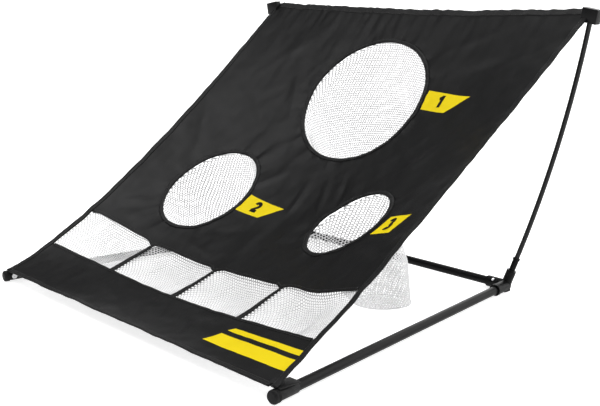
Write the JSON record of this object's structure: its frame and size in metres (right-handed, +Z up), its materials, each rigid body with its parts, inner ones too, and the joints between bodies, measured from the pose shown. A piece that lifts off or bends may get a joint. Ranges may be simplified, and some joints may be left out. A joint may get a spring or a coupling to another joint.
{
  "type": "golf chipping net",
  "caption": "Free-standing golf chipping target: a bellied cloth panel with round holes over mesh bags and a row of mesh pockets, hung from bowed rods on a low tubular base.",
  "frame": {"origin": "on the ground, under the middle of the whole object", "axes": "+X to the right of the player who faces the net, +Y away from the player, +Z up"},
  "size_m": [0.9502, 0.8106, 0.5783],
  "materials": {
    "frame_tube": "satin black powder coat",
    "fitting": "moulded, fine texture",
    "collar": "moulded, satin",
    "socket": "satin black",
    "button": "bright",
    "spring": "plain spring steel",
    "rod": "pultruded fibreglass, satin gloss",
    "tip_cap": "moulded",
    "front_cap": "ribbed, dull",
    "cuff": "woven webbing",
    "snap": "bright metal snap",
    "panel_cloth": "woven coated polyester, slightly glossy",
    "edge_tape": "grosgrain tape, folded and stitched",
    "rim_tape": "bias tape, slightly glossy",
    "netting": "white knitted mesh",
    "pocket_cloth": "doubled cloth, stitched",
    "webbing": "woven webbing"
  },
  "bodies": {
    "base": {"button_spring_left": "spring", "button_spring_right": "spring", "corner_fitting_left": "fitting", "corner_fitting_right": "fitting", "cuff_snap_left": "snap", "cuff_snap_right": "snap", "front_cap_left": "front_cap", "front_cap_right": "front_cap", "front_cuff_left": "cuff", "front_cuff_right": "cuff", "rear_tube": "frame_tube", "side_tube_left": "frame_tube", "side_tube_right": "frame_tube", "tube_collar_left": "collar", "tube_collar_right": "collar", "upright_socket_left": "socket", "upright_socket_right": "socket"},
    "net": {"band_tape": "edge_tape", "bottom_band": "panel_cloth", "corner_pocket_left": "pocket_cloth", "corner_pocket_right": "pocket_cloth", "corner_tab_left": "webbing", "corner_tab_right": "webbing", "pocket_bag_1": "netting", "pocket_bag_2": "netting", "pocket_bag_3": "netting", "pocket_bag_4": "netting", "pocket_divider_1": "panel_cloth", "pocket_divider_2": "panel_cloth", "pocket_divider_3": "panel_cloth", "rim_tape_left": "rim_tape", "rim_tape_right": "rim_tape", "rim_tape_top": "rim_tape", "side_tape_left": "edge_tape", "side_tape_right": "edge_tape", "target_bag_left": "netting", "target_bag_right": "netting", "target_bag_top": "netting", "target_panel": "panel_cloth", "top_hem": "edge_tape"},
    "upright_right": {"rod_tip_cap_right": "tip_cap", "upright_rod_right": "rod"},
    "upright_left": {"rod_tip_cap_left": "tip_cap", "upright_rod_left": "rod"},
    "button_right": {"push_button_right": "button"},
    "button_left": {"push_button_left": "button"}
  },
  "joints": [
    {"name": "net_lift", "type": "slide", "parent": "base", "child": "net", "axis": [0, 0.0696, 0.9976], "range_m": [0, 0.12]},
    {"name": "upright_pull_right", "type": "slide", "parent": "base", "child": "upright_right", "axis": [0.2502, 0.2091, 0.9453], "range_m": [0, 0.05]},
    {"name": "upright_pull_left", "type": "slide", "parent": "base", "child": "upright_left", "axis": [-0.2502, 0.2091, 0.9453], "range_m": [0, 0.05]},
    {"name": "button_press_right", "type": "slide", "parent": "base", "child": "button_right", "axis": [0, 0.7071, -0.7071], "range_m": [0, 0.003], "stiffness_N_per_m": 800, "deforming": ["button_spring_right"]},
    {"name": "button_press_left", "type": "slide", "parent": "base", "child": "button_left", "axis": [0, 0.7071, -0.7071], "range_m": [0, 0.003], "stiffness_N_per_m": 800, "deforming": ["button_spring_left"]}
  ],
  "couplings": [
    {"joint": "upright_pull_right", "follows": "net_lift", "ratio": 0.4},
    {"joint": "upright_pull_left", "follows": "net_lift", "ratio": 0.4}
  ]
}
